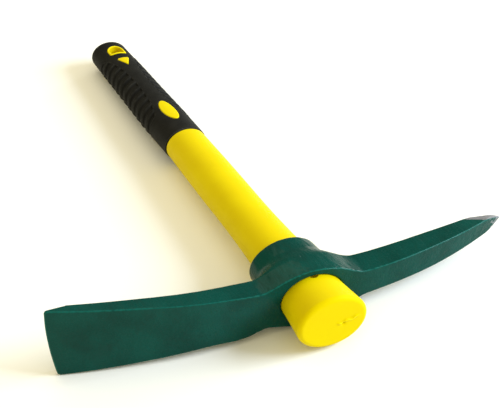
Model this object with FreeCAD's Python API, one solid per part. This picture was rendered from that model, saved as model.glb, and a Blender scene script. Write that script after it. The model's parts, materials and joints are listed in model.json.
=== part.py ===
"""Hand pick (mini pick mattock) on a jacketed fibreglass handle, in millimetres.

Everything is drawn in the tool's own frame: the origin is the centre of the handle's end face in
front of the head, +Y runs down the handle to the grip, +X points to the pick and +Z is square to
both.  place_on_floor() then lays the finished tool down the way it rests: on the adze's corner,
the eye and the end of the grip.
"""

import FreeCAD, Part
import math
import os

V = FreeCAD.Vector

# ---------------------------------------------------------------- driving dimensions
HANDLE_LENGTH = 400.0            # end face to the end of the grip
GRIP_START = 233.0               # where the rubber begins
EYE_FRONT = 30.5                 # the head's front face on the handle's axis
EYE_BACK = 70.5                  # the end of the eye's skirt
FIT_CLEARANCE = 0.25             # between the handle's taper and the eye, all round

# Oval sections of the yellow jacket: distance down the handle, half width, half thickness.
SHAFT_OVALS = [
    (0.0, 24.4, 18.8),
    (EYE_FRONT, 21.1, 16.5),
    (EYE_BACK, 18.8, 15.0),
    (112.0, 17.0, 13.9),
    (165.0, 16.6, 13.7),
    (GRIP_START, 15.7, 13.2),
]
# Oval sections of the rubber grip's outside.
GRIP_OVALS = [
    (GRIP_START, 16.2, 13.4),
    (262.0, 16.6, 12.4),
    (316.0, 16.0, 11.6),
    (370.0, 15.4, 11.6),
    (HANDLE_LENGTH, 14.9, 11.8),
]
STUB_ROUNDING = 3.5              # edge of the end face
GRIP_END_ROUNDING = 8.0
RUBBER_THICKNESS = 2.6
RUBBER_END_THICKNESS = 3.5

CORE_HALF_WIDTH = 8.0            # fibreglass rod
CORE_HALF_THICKNESS = 6.5
CORE_START = 8.0
CORE_END = 345.0

PIN_HOLE_RADIUS = 2.4            # left by the pins that held the core in the mould
PIN_HOLE_PLACE = V(0.8, 29.0, 0.0)
PIN_HOLE_BOTTOM = 8.5            # height above the core's axis

# Windows in the rubber, where the jacket shows.
PANEL_CENTRE = 266.5
PANEL_HALF_LENGTH = 15.5
PANEL_HALF_WIDTH = 5.4
ARROW_BASE = 363.0
ARROW_POINT = 350.0
ARROW_HALF_WIDTH = 5.4
ARROW_CORNER = 1.8
HANG_FLAT = 371.8                # straight side of the D-shaped hang hole's rim
HANG_CROWN = 385.6
HANG_HALF_WIDTH = 7.0
HANG_CORNER = 1.2
HANG_RIM = 1.5

RIB_COUNT = 11                   # grooves across each ribbed side panel
RIB_FIRST = 268.0
RIB_PITCH = 9.6
RIB_WIDTH = 3.0
RIB_DEPTH = 0.9
RIB_PANEL_MIDDLE = 316.0         # each panel is half of a long ellipse, drawn on the grip's side
RIB_PANEL_HALF_LENGTH = 55.0
RIB_PANEL_DROP = 10.2            # how far the ellipse reaches over the top from the side

# Head: the arms are drawn in plan (X, Y) and in elevation (X, Z).
ADZE_END = -163.8
ADZE_ROOT = -30.8
ADZE_EDGE_THICKNESS = 1.8
ADZE_BEVEL_START = -150.0
ADZE_ROOT_HALF = 12.7            # half height of the blade at the eye and at its end
ADZE_END_HALF = 24.9
ADZE_EDGE_SKEW = 2.6             # how much shorter the blade is at its lower corner
ADZE_EDGE_BULGE = 0.6            # how far the edge's middle stands beyond its upper corner
PICK_END = 156.4
PICK_ROOT = 30.0
PICK_POINT_Y = 52.2
PICK_POINT_HALF = 0.7
PICK_POINT_LENGTH = 3.0          # the blunt point, in front of the ground facet
PICK_POINT_RISE = 1.2
PICK_FACET_START = 132.0         # where the ground facet begins on the back
EYE_OUTER_FRONT = (27.4, 20.2)
EYE_OUTER_BACK = (24.4, 18.6)
EYE_CROWN = 0.86                 # how high up the eye the arms' saddles start, as a share of its height
SADDLE_START = 17.0              # where each saddle leaves the eye
SADDLE_REACH = 44.0              # where the blend from the eye runs out along each arm
WEB_HEIGHT = 62.0                # where the blend from each arm meets the eye's skirt
WEB_MIDDLE = (30.5, 50.2)        # a place halfway along that blend, in plan
WEB_BURY = 2.6                   # how far the blend's end lies inside the skirt

# Half heights of the pick along X, from its point to the saddle.
PICK_HALF_HEIGHTS = [(149.5, 3.3), (137.0, 5.3), (118.0, 6.2), (95.0, 7.5), (60.0, 7.9)]
PICK_SADDLE = [(SADDLE_REACH, 8.6), (30.0, 9.8)]
ADZE_SADDLE = [(27.0, 13.6), (SADDLE_REACH, 13.6)]

BURIED = 2.0                     # overlap given to pieces before they are joined
BEYOND = 30.0                    # cutters run at least this far past the surfaces they cut


# ---------------------------------------------------------------- arm curves
def adze_front(x):
    """Y of the adze blade's front face at x, a shallow curve back towards the grip."""
    reach = ADZE_ROOT - x
    return 29.0 + 0.0255 * reach + 0.0013 * reach**2


def adze_back(x):
    """Y of the adze blade's back face, before its end bevel."""
    return 45.6 + 0.00118 * (-45.0 - x) ** 2


def pick_front(x):
    """Y of the pick's front face."""
    return 27.0 + 0.00156 * (x - PICK_ROOT) ** 2


def pick_back(x):
    """Y of the pick's back face, before its ground facet."""
    return 46.9 + 0.0008 * (x - 35.0) ** 2


def adze_half_height(x):
    """Half height of the adze blade, which widens steadily to its edge."""
    share = (ADZE_ROOT - x) / (ADZE_ROOT - ADZE_END)
    return ADZE_ROOT_HALF + share * (ADZE_END_HALF - ADZE_ROOT_HALF)


# ---------------------------------------------------------------- helpers
def spline(points):
    """One smooth edge through the points."""
    curve = Part.BSplineCurve()
    curve.interpolate(points)
    return curve.toShape()


def line(start, end):
    """A straight edge."""
    return Part.LineSegment(start, end).toShape()


def stations(start, end, count):
    """Evenly spaced values from start to end, both included."""
    return [start + (end - start) * i / (count - 1) for i in range(count)]


def oval(y, half_width, half_thickness):
    """An ellipse square to the handle."""
    curve = Part.Ellipse(V(half_width, y, 0), V(0, y, half_thickness), V(0, y, 0))
    return Part.Wire(curve.toShape())


def oval_loft(sections, grow=0.0):
    """A smooth solid through oval sections, each grown by the same amount."""
    return Part.makeLoft([oval(y, a + grow, b + grow) for y, a, b in sections], True, False)


def upright(wire, half_height):
    """The outline in plan, extruded evenly above and below the handle's mid plane."""
    face = Part.Face(wire)
    face.translate(V(0, 0, -half_height))
    return face.extrude(V(0, 0, 2 * half_height))


def edges_along(shape, test):
    """The shape's edges whose end points pass the test."""
    return [e for e in shape.Edges if all(test(v.Point) for v in e.Vertexes)]


def rounded_prism(wire, half_height, radius, corners):
    """An upright prism with its standing edges rounded where corners(point) is true."""
    prism = upright(wire, half_height)
    standing = [
        e for e in prism.Edges
        if abs(e.Vertexes[0].Z - e.Vertexes[-1].Z) > half_height and corners(e.Vertexes[0].Point)
    ]
    return prism.makeFillet(radius, standing)


# ---------------------------------------------------------------- handle
def hang_outline(inset):
    """The D of the hang hole: a straight side towards the head and a round crown."""
    flat = HANG_FLAT + inset
    half = HANG_HALF_WIDTH - inset
    shoulder = HANG_CROWN - HANG_HALF_WIDTH
    return Part.Wire([
        line(V(half, shoulder, 0), V(half, flat, 0)),
        line(V(half, flat, 0), V(-half, flat, 0)),
        line(V(-half, flat, 0), V(-half, shoulder, 0)),
        Part.Arc(V(-half, shoulder, 0), V(0, shoulder + half, 0), V(half, shoulder, 0)).toShape(),
    ])


def at_hang_flat(point):
    """True at the two corners of the hang hole's straight side."""
    return point.y < HANG_FLAT + HANG_RIM + 0.01


def window_prisms():
    """The three outlines where the jacket shows through the rubber, as tall prisms."""
    panel = Part.Ellipse(
        V(0, PANEL_CENTRE + PANEL_HALF_LENGTH, 0), V(PANEL_HALF_WIDTH, PANEL_CENTRE, 0), V(0, PANEL_CENTRE, 0)
    )
    arrow = Part.makePolygon([
        V(-ARROW_HALF_WIDTH, ARROW_BASE, 0),
        V(ARROW_HALF_WIDTH, ARROW_BASE, 0),
        V(0, ARROW_POINT, 0),
        V(-ARROW_HALF_WIDTH, ARROW_BASE, 0),
    ])
    return [
        upright(Part.Wire(panel.toShape()), BEYOND),
        rounded_prism(arrow, BEYOND, ARROW_CORNER, lambda p: True),
        rounded_prism(hang_outline(0.0), BEYOND, HANG_CORNER, at_hang_flat),
    ]


def grip_outside():
    """The rubber grip's outer form with its domed end."""
    body = oval_loft(GRIP_OVALS)
    end = edges_along(body, lambda p: p.y > HANDLE_LENGTH - 0.01)
    return body.makeFillet(GRIP_END_ROUNDING, end)


def neck():
    """The jacket under the rubber, thinner all round by the rubber's thickness."""
    sections = [(y, a, b) for y, a, b in GRIP_OVALS[:-1]]
    sections[0] = (GRIP_START - 1.0,) + GRIP_OVALS[0][1:]
    sections.append((HANDLE_LENGTH - RUBBER_END_THICKNESS,) + GRIP_OVALS[-1][1:])
    body = oval_loft(sections, -RUBBER_THICKNESS)
    end = edges_along(body, lambda p: p.y > HANDLE_LENGTH - RUBBER_END_THICKNESS - 0.01)
    return body.makeFillet(GRIP_END_ROUNDING - RUBBER_THICKNESS, end)


def fibreglass_core():
    """The pultruded oval rod, sealed inside the jacket."""
    face = Part.Face(oval(CORE_START, CORE_HALF_WIDTH, CORE_HALF_THICKNESS))
    return face.extrude(V(0, CORE_END - CORE_START, 0))


def handle_jacket(core, windows, outside):
    """The yellow jacket: swelled stub, shaft, neck, raised windows, pin holes and hang hole."""
    shaft = oval_loft(SHAFT_OVALS)
    end_edge = edges_along(shaft, lambda p: p.y < 0.01)
    jacket = shaft.makeFillet(STUB_ROUNDING, end_edge)
    raised = [prism.common(outside) for prism in windows]
    jacket = jacket.fuse([neck()] + raised)
    hang_hole = rounded_prism(hang_outline(HANG_RIM), BEYOND, HANG_CORNER / 2, at_hang_flat)
    upper_pin = Part.makeCylinder(PIN_HOLE_RADIUS, BEYOND, V(0, 0, PIN_HOLE_BOTTOM) + PIN_HOLE_PLACE)
    lower_pin = upper_pin.mirror(V(0, 0, 0), V(0, 0, 1))
    return jacket.cut([core, hang_hole, upper_pin, lower_pin]).removeSplitter()


def rib_grooves():
    """Grooves round both sides of the grip, inside the two ribbed panels."""
    floor = oval_loft(GRIP_OVALS, -RIB_DEPTH)
    middle_half_width = GRIP_OVALS[2][1]
    grooves = []
    for side in (1, -1):
        centre = V(side * middle_half_width, RIB_PANEL_MIDDLE, 0)
        ellipse = Part.Ellipse(
            centre + V(0, RIB_PANEL_HALF_LENGTH, 0), centre + V(RIB_PANEL_DROP, 0, 0), centre
        )
        panel = upright(Part.Wire(ellipse.toShape()), BEYOND)
        for i in range(RIB_COUNT):
            start = V(-BEYOND, RIB_FIRST + i * RIB_PITCH - RIB_WIDTH / 2, -BEYOND)
            slab = Part.makeBox(2 * BEYOND, RIB_WIDTH, 2 * BEYOND, start)
            grooves.append(slab.common(panel).cut(floor))
    return grooves


def rubber_grip(jacket, core, windows, outside):
    """The black overmould, open at the windows and the hang hole, grooved at its sides."""
    return outside.cut([jacket, core] + windows + rib_grooves()).removeSplitter()


# ---------------------------------------------------------------- head
def arms_in_plan():
    """Both arms seen square to the mid plane, with webs that run into the eye's skirt."""
    edge_y = adze_front(ADZE_END)
    bevel = V(ADZE_BEVEL_START, adze_back(ADZE_BEVEL_START), 0)
    facet = V(PICK_FACET_START, pick_back(PICK_FACET_START), 0)
    adze_web = V(-SADDLE_REACH, adze_back(-SADDLE_REACH), 0)
    pick_web = V(SADDLE_REACH, pick_back(SADDLE_REACH), 0)
    skirt = EYE_OUTER_BACK[0] - WEB_BURY
    web_x, web_y = WEB_MIDDLE
    front = [V(x, adze_front(x), 0) for x in stations(ADZE_END, ADZE_ROOT, 8)]
    front += [V(x, pick_front(x), 0) for x in stations(PICK_ROOT, PICK_END - PICK_POINT_LENGTH / 2, 8)]
    back_of_pick = [V(x, pick_back(x), 0) for x in stations(PICK_FACET_START, SADDLE_REACH, 5)]
    back_of_adze = [V(x, adze_back(x), 0) for x in stations(-SADDLE_REACH, ADZE_BEVEL_START, 5)]
    point = V(PICK_END, PICK_POINT_Y, 0)
    point_back = point + V(-PICK_POINT_LENGTH, PICK_POINT_RISE, 0)
    return Part.Wire([
        spline(front),
        line(front[-1], point),
        line(point, point_back),
        line(point_back, facet),
        spline(back_of_pick),
        spline([pick_web, V(web_x, web_y, 0), V(skirt, WEB_HEIGHT, 0)]),
        line(V(skirt, WEB_HEIGHT, 0), V(-skirt, WEB_HEIGHT, 0)),
        spline([V(-skirt, WEB_HEIGHT, 0), V(-web_x, web_y, 0), adze_web]),
        spline(back_of_adze),
        line(bevel, V(ADZE_END, edge_y + ADZE_EDGE_THICKNESS, 0)),
        line(V(ADZE_END, edge_y + ADZE_EDGE_THICKNESS, 0), V(ADZE_END, edge_y, 0)),
    ])


def edge_corner(side):
    """X of the adze edge's upper (side 1) or lower (side -1) corner."""
    return ADZE_END + ADZE_EDGE_BULGE + (ADZE_EDGE_SKEW if side < 0 else 0.0)


def arm_skyline(side):
    """Upper (side 1) or lower (side -1) outline of both arms in elevation, from the pick to the adze."""
    crown = EYE_CROWN * EYE_OUTER_FRONT[1]
    pick = [V(x, 0, side * half) for x, half in PICK_HALF_HEIGHTS + PICK_SADDLE[:1]]
    pick_saddle = [V(x, 0, side * half) for x, half in PICK_SADDLE + [(SADDLE_START, crown)]]
    adze_saddle = [V(-x, 0, side * half) for x, half in [(SADDLE_START, crown)] + ADZE_SADDLE]
    return [
        line(V(PICK_END, 0, side * PICK_POINT_HALF), pick[0]),
        spline(pick),
        spline(pick_saddle),
        line(pick_saddle[-1], adze_saddle[0]),
        spline(adze_saddle),
        line(adze_saddle[-1], V(edge_corner(side), 0, side * ADZE_END_HALF)),
    ]


def arms_in_elevation():
    """Both arms seen along the handle."""
    bulge = V(ADZE_END, 0, 0.4 * ADZE_END_HALF)
    edge = spline([V(edge_corner(1), 0, ADZE_END_HALF), bulge, V(edge_corner(-1), 0, -ADZE_END_HALF)])
    nose = line(V(PICK_END, 0, PICK_POINT_HALF), V(PICK_END, 0, -PICK_POINT_HALF))
    return Part.Wire(Part.__sortEdges__(arm_skyline(1) + [edge] + arm_skyline(-1) + [nose]))


def pick_head():
    """The forging: adze blade, pick arm and eye in one piece of steel."""
    plan = upright(arms_in_plan(), BEYOND)
    elevation = Part.Face(arms_in_elevation()).extrude(V(0, EYE_BACK + BEYOND, 0))
    arms = plan.common(elevation)
    eye = Part.makeLoft([
        oval(EYE_FRONT - BURIED, *EYE_OUTER_FRONT),
        oval(EYE_BACK, *EYE_OUTER_BACK),
    ], True, False)
    head = arms.fuse(eye)
    hole = oval_loft(SHAFT_OVALS, FIT_CLEARANCE)
    return head.cut(hole).removeSplitter()


# ---------------------------------------------------------------- placing
def place_on_floor(shapes):
    """Tilt the tool onto its three real contact points and centre it over the origin.

    Prints the pitch and roll in degrees and the shift, which the mounts and the slide axis follow.
    """
    grip_y = HANDLE_LENGTH - GRIP_END_ROUNDING
    pitch = math.atan2(EYE_OUTER_FRONT[1] - GRIP_OVALS[-1][2], grip_y - EYE_FRONT)
    under_adze = EYE_OUTER_FRONT[1] - math.tan(pitch) * (adze_front(ADZE_END) - EYE_FRONT)
    roll = math.atan2(adze_half_height(ADZE_END) - under_adze, -ADZE_END)
    for shape in shapes:
        shape.rotate(V(0, 0, 0), V(1, 0, 0), -math.degrees(pitch))
        shape.rotate(V(0, 0, 0), V(0, 1, 0), math.degrees(roll))
    box = Part.Compound(shapes).optimalBoundingBox(False, False)
    middle = V((box.XMin + box.XMax) / 2, (box.YMin + box.YMax) / 2, box.ZMin)
    for shape in shapes:
        shape.translate(-middle)
    print("pitch", math.degrees(pitch), "roll", math.degrees(roll), "shift", -middle)


core = fibreglass_core()
windows = window_prisms()
outside = grip_outside()
jacket = handle_jacket(core, windows, outside)
parts = {
    "pick_head": pick_head(),
    "fibreglass_core": core,
    "handle_jacket": jacket,
    "rubber_grip": rubber_grip(jacket, core, windows, outside),
}
place_on_floor(list(parts.values()))

os.makedirs("parts", exist_ok=True)
for name, shape in parts.items():
    print(name, shape.ShapeType, len(shape.Solids), round(shape.Volume), shape.isValid())
    shape.exportStep("parts/" + name + ".step")
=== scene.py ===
"""Visual model of a hand pick: a painted forged head slid onto a jacketed fibreglass handle.

Sizes are in millimetres in the tool's own frame: the origin is the centre of the handle's end face in
front of the head, +Y runs down the handle to the grip, +X points to the pick and +Z is square to both.
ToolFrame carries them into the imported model's frame, in metres.
"""

import json
import logging
import math
from dataclasses import dataclass, field
from enum import Enum
from typing import Callable, Iterable, Sequence

import bpy
import numpy as np
from mathutils import Matrix, Vector

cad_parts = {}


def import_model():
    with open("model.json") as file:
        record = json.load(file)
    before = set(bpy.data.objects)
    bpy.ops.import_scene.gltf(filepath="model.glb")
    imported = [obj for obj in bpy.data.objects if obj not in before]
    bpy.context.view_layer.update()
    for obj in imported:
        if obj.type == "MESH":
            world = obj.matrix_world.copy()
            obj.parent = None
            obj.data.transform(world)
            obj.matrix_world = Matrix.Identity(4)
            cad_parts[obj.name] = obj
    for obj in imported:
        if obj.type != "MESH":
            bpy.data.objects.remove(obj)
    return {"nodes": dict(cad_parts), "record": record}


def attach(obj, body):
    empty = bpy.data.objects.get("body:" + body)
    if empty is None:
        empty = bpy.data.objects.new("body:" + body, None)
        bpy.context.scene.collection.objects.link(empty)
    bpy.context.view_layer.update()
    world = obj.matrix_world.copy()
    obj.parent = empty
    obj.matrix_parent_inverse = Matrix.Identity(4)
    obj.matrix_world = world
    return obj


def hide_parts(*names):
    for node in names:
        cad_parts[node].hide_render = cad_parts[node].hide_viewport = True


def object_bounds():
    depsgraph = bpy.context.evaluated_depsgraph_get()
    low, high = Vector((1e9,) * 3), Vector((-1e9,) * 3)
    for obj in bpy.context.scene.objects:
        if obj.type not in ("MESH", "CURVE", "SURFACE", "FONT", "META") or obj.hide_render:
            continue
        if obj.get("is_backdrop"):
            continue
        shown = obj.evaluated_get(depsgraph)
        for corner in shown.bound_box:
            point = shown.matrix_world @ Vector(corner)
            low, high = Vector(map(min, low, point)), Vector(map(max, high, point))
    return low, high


log = logging.getLogger("hand_pick")
Array = np.ndarray
Material = bpy.types.Material
MILLIMETRE = 0.001
PLACE = "place"
TINY = 1e-9


# ------------------------------------------------------------------------------------ names
class Body(Enum):
    """The rigid bodies that the pieces ride on."""

    HANDLE = "handle"
    HEAD = "head"


class Slot(Enum):
    """The record's material slots."""

    PAINT = "painted_steel"
    PLASTIC = "yellow_plastic"
    RUBBER = "black_rubber"


class Mask(Enum):
    """Values stored on each mesh point, which the finishes read."""

    EDGE = "edge"
    BARE = "bare"
    HOLLOW = "hollow"


# ------------------------------------------------------------------------------------ frame
@dataclass(frozen=True)
class ToolFrame:
    """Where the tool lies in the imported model: the frame's origin in metres and its three axes.

    Args:
        origin: Centre of the handle's end face.
        axes: Columns are the tool's X, Y and Z directions.
    """

    origin: Array
    axes: Array

    @classmethod
    def from_record(cls, record: dict) -> "ToolFrame":
        """Read the frame from the record's mounts and slide axis.

        Args:
            record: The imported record.

        Returns:
            The tool's frame.
        """
        mounts = {m["name"]: m for m in record["mounts"]}
        down_handle = np.array(record["behaviour"]["joints"][0]["axis"], float)
        down_handle /= np.linalg.norm(down_handle)
        upright = np.array(mounts["hang_hole"]["axis"], float)
        to_pick = np.cross(down_handle, upright)
        to_pick /= np.linalg.norm(to_pick)
        upright = np.cross(to_pick, down_handle)
        origin = np.array(mounts["stub_face"]["pos_m"], float)
        return cls(origin, np.column_stack([to_pick, down_handle, upright]))

    def place(self, points: Array) -> Array:
        """Carry points from tool millimetres into the model's metres."""
        return self.origin + (points * MILLIMETRE) @ self.axes.T

    def turn(self, directions: Array) -> Array:
        """Carry directions from the tool's frame into the model's."""
        return directions @ self.axes.T


# ------------------------------------------------------------------------------------ distance fields
# A field is negative inside the solid, zero on its skin and positive outside, in millimetres.
def both(a: Array, b: Array, radius: Array | float) -> Array:
    """The overlap of two fields, with the edge between them rounded.

    Args:
        a: First field.
        b: Second field.
        radius: Radius of the rounded edge.

    Returns:
        The combined field.
    """
    outside = np.hypot(np.maximum(a + radius, 0.0), np.maximum(b + radius, 0.0))
    return outside - radius + np.minimum(np.maximum(a, b) + radius, 0.0)


def either(a: Array, b: Array, radius: Array | float) -> Array:
    """Two fields joined, with the inside corner between them filled by a fillet of that radius."""
    return -both(-a, -b, radius)


def oval(x: Array, z: Array, half_width: Array, half_thickness: Array) -> Array:
    """Distance to an ellipse in the XZ plane, close to exact near its skin."""
    scale = np.sqrt((x / half_width) ** 2 + (z / half_thickness) ** 2)
    slope = np.sqrt((x / half_width**2) ** 2 + (z / half_thickness**2) ** 2)
    return np.where(scale > 0.01, scale * (scale - 1.0) / np.maximum(slope, TINY), -half_thickness)


def ramp(x: Array, start: float, end: float) -> Array:
    """0 before start, 1 after end, with a smooth rise between them."""
    t = np.clip((x - start) / (end - start), 0.0, 1.0)
    return t * t * (3.0 - 2.0 * t)


def softplus(x: Array, width: float) -> Array:
    """0 for x well under 0 and x well over it, turning smoothly over the given width."""
    return width * np.logaddexp(0.0, x / width)


def ripple(x: Array, y: Array, z: Array, wavelength: float) -> Array:
    """A smooth irregular swell between about -1 and 1, the same on every run."""
    k = 2.0 * math.pi / wavelength
    return (
        np.sin(k * (x + 0.31 * y) + 1.3) * np.sin(k * (0.83 * y - 0.42 * z) + 0.4)
        + 0.6 * np.sin(k * (1.7 * z + 0.55 * x) + 2.1) * np.sin(k * (0.61 * x - 1.2 * y))
    ) / 1.6


def smooth_curve(stations: Sequence[tuple[float, float]], at: Array) -> Array:
    """A smooth curve through the stations (natural cubic spline), straight beyond its ends.

    Args:
        stations: Pairs of place and value, in rising order of place.
        at: Places to read.

    Returns:
        The values there.
    """
    place, value = (np.array(column, float) for column in zip(*stations))
    gap = np.diff(place)
    n = len(place)
    system = np.eye(n)
    right = np.zeros(n)
    for i in range(1, n - 1):
        system[i, i - 1 : i + 2] = gap[i - 1], 2.0 * (gap[i - 1] + gap[i]), gap[i]
        right[i] = 6.0 * ((value[i + 1] - value[i]) / gap[i] - (value[i] - value[i - 1]) / gap[i - 1])
    bend = np.linalg.solve(system, right)
    where = np.clip(np.searchsorted(place, at) - 1, 0, n - 2)
    left, width = place[where], gap[where]
    inside = np.clip(at, place[0], place[-1])
    t, s = inside - left, left + width - inside
    curve = (bend[where] * s**3 + bend[where + 1] * t**3) / (6.0 * width)
    curve += (value[where] / width - bend[where] * width / 6.0) * s
    curve += (value[where + 1] / width - bend[where + 1] * width / 6.0) * t
    return curve


@dataclass(frozen=True)
class Swell:
    """A smooth rise along one axis, which falls to about a third at its spread from the middle."""

    height: float
    middle: float
    spread: float

    def at(self, x: Array) -> Array:
        """The rise at x."""
        return self.height * np.exp(-(((x - self.middle) / self.spread) ** 2))


@dataclass(frozen=True)
class Curl:
    """A face that is level as far as its start and then curls away ever faster, by curl in 1/mm."""

    level: float
    start: float
    curl: float

    def at(self, along: Array) -> Array:
        """Where the face is, that far along."""
        return self.level + self.curl * np.maximum(along - self.start, 0.0) ** 2


@dataclass(frozen=True)
class Dents:
    """A forging's unevenness, of a mean depth, between the two places where it starts to fade and is gone.

    Args:
        stretch: How much denser its swells are along X and along Y.
    """

    depth: float
    wavelength: float
    fade: tuple[float, float]
    stretch: tuple[float, float] = (1.0, 1.0)

    def at(self, x: Array, y: Array, z: Array) -> Array:
        """How deep it is."""
        swells = 1.0 + ripple(self.stretch[0] * x, self.stretch[1] * y, z, self.wavelength)
        return self.depth * swells * (1.0 - ramp(np.abs(x), *self.fade))


# ------------------------------------------------------------------------------------ skins from fields
Field = Callable[[Array, Array, Array], Array]
Span = tuple[float, float, float]


@dataclass
class Grid:
    """A block of sample points that follows the piece: x, y and z hold one value per node."""

    x: Array
    y: Array
    z: Array

    @classmethod
    def of(cls, *places: Array) -> "Grid":
        """A grid from x, y and z, each spread over the axes that it lacks."""
        return cls(*np.broadcast_arrays(*places))

    def points(self) -> Array:
        """All nodes as rows of x, y, z, on a last axis."""
        return np.stack([self.x, self.y, self.z], axis=-1)


def spaced(spans: Iterable[Span]) -> Array:
    """Places along an axis, with their own step in each span.

    Args:
        spans: Start, end and step of each span, end to end.

    Returns:
        The places, in rising order.
    """
    runs = []
    for start, end, step in spans:
        count = max(1, round((end - start) / step))
        runs.append(np.linspace(start, end, count, endpoint=False))
        last = end
    return np.concatenate([*runs, [last]])


@dataclass
class Skin:
    """Turns a field into an evenly faced mesh whose points lie on the field's skin.

    Args:
        surface: The field.
        relaxing: How many times the points are evened out along the skin.
        settling: How many steps the last move onto the skin takes.
        longest_step: How far a point may move in one step.
        least_slope: The smallest squared slope that a step is divided by.
        probe: How far out the field is read for a slope while points move.
        normal_probe: How far out it is read for the normals.
        bend_probe: How far out it is read for the curvature.
    """

    surface: Field
    relaxing: int = 3
    settling: int = 4
    longest_step: float = 0.6
    least_slope: float = 0.05
    probe: float = 0.04
    normal_probe: float = 0.08
    bend_probe: float = 0.9

    def value(self, points: Array) -> Array:
        """The field at rows of points."""
        return self.surface(points[:, 0], points[:, 1], points[:, 2])

    def slope(self, points: Array, probe: float) -> Array:
        """The field's gradient at rows of points, by central differences."""
        rises = [self.value(points + step) - self.value(points - step) for step in np.eye(3) * probe]
        return np.stack(rises, axis=1) / (2.0 * probe)

    def normals(self, points: Array) -> Array:
        """Unit normals at rows of points on the skin."""
        slope = self.slope(points, self.normal_probe)
        return slope / np.maximum(np.linalg.norm(slope, axis=1, keepdims=True), TINY)

    def bend(self, points: Array) -> Array:
        """The curvature at rows of points on the skin, in 1/mm: positive on edges, negative in hollows."""
        middle = self.value(points)
        total = np.zeros_like(middle)
        for step in np.eye(3) * self.bend_probe:
            total += self.value(points + step) + self.value(points - step) - 2.0 * middle
        return total / self.bend_probe**2

    def settle(self, points: Array, rounds: int) -> Array:
        """Move points along the gradient onto the skin."""
        for _ in range(rounds):
            slope = self.slope(points, self.probe)
            steep = np.maximum((slope**2).sum(1), self.least_slope)
            move = slope * (self.value(points) / steep)[:, None]
            length = np.linalg.norm(move, axis=1, keepdims=True)
            points = points - move * np.minimum(1.0, self.longest_step / np.maximum(length, TINY))
        return points

    def relax(self, points: Array, quads: Array) -> Array:
        """Pull each point halfway to the middle of its neighbours."""
        total = np.zeros_like(points)
        count = np.zeros(len(points))
        for a, b in ((0, 1), (1, 2), (2, 3), (3, 0)):
            for start, end in ((a, b), (b, a)):
                for axis in range(3):
                    total[:, axis] += np.bincount(quads[:, start], points[quads[:, end], axis], len(points))
                count += np.bincount(quads[:, start], minlength=len(points))
        return 0.5 * points + 0.5 * total / np.maximum(count, 1.0)[:, None]

    def over(self, grid: Grid) -> tuple[Array, Array]:
        """Mesh the part of the field that the grid covers.

        Args:
            grid: Sample points, right-handed in its three index directions.

        Returns:
            Points and quads.
        """
        values = self.surface(grid.x, grid.y, grid.z)
        nodes = grid.points()
        inside = values < 0.0
        size = np.array(values.shape) - 1
        corners = np.array([(i, j, k) for i in (0, 1) for j in (0, 1) for k in (0, 1)])
        filled = np.zeros(size, int)
        for i, j, k in corners:
            filled += inside[i : i + size[0], j : j + size[1], k : k + size[2]]
        cells = np.argwhere((filled > 0) & (filled < 8))
        number = np.full(size, -1)
        number[tuple(cells.T)] = np.arange(len(cells))
        total = np.zeros((len(cells), 3))
        count = np.zeros(len(cells))
        for a in range(8):
            for b in range(a + 1, 8):
                if np.abs(corners[a] - corners[b]).sum() != 1:
                    continue
                first = tuple((cells + corners[a]).T)
                second = tuple((cells + corners[b]).T)
                crossing = inside[first] != inside[second]
                share = values[first] / np.where(crossing, values[first] - values[second], 1.0)
                where = nodes[first] + share[:, None] * (nodes[second] - nodes[first])
                total[crossing] += where[crossing]
                count += crossing
        points = total / count[:, None]
        quads = self.quads(inside, number)
        for _ in range(self.relaxing):
            points = self.settle(self.relax(points, quads), 1)
        return self.settle(points, self.settling), quads

    def quads(self, inside: Array, number: Array) -> Array:
        """One quad across every grid edge that passes through the skin, facing outwards.

        Args:
            inside: True at the grid nodes inside the solid.
            number: Each cell's point number, or -1.

        Returns:
            Rows of four point numbers.
        """
        faces = []
        for axis in range(3):
            along, across = (axis + 1) % 3, (axis + 2) % 3
            near = np.moveaxis(inside, (axis, along, across), (0, 1, 2))
            cell = np.moveaxis(number, (axis, along, across), (0, 1, 2))
            here, there = near[:-1, 1:-1, 1:-1], near[1:, 1:-1, 1:-1]
            for leaving in (True, False):
                edge = np.argwhere((here == leaving) & (there == (not leaving)))
                i, j, k = edge.T
                ring = [cell[i, j, k], cell[i, j + 1, k], cell[i, j + 1, k + 1], cell[i, j, k + 1]]
                faces.append(np.column_stack(ring if leaving else ring[::-1]))
        return np.concatenate(faces)


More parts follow.
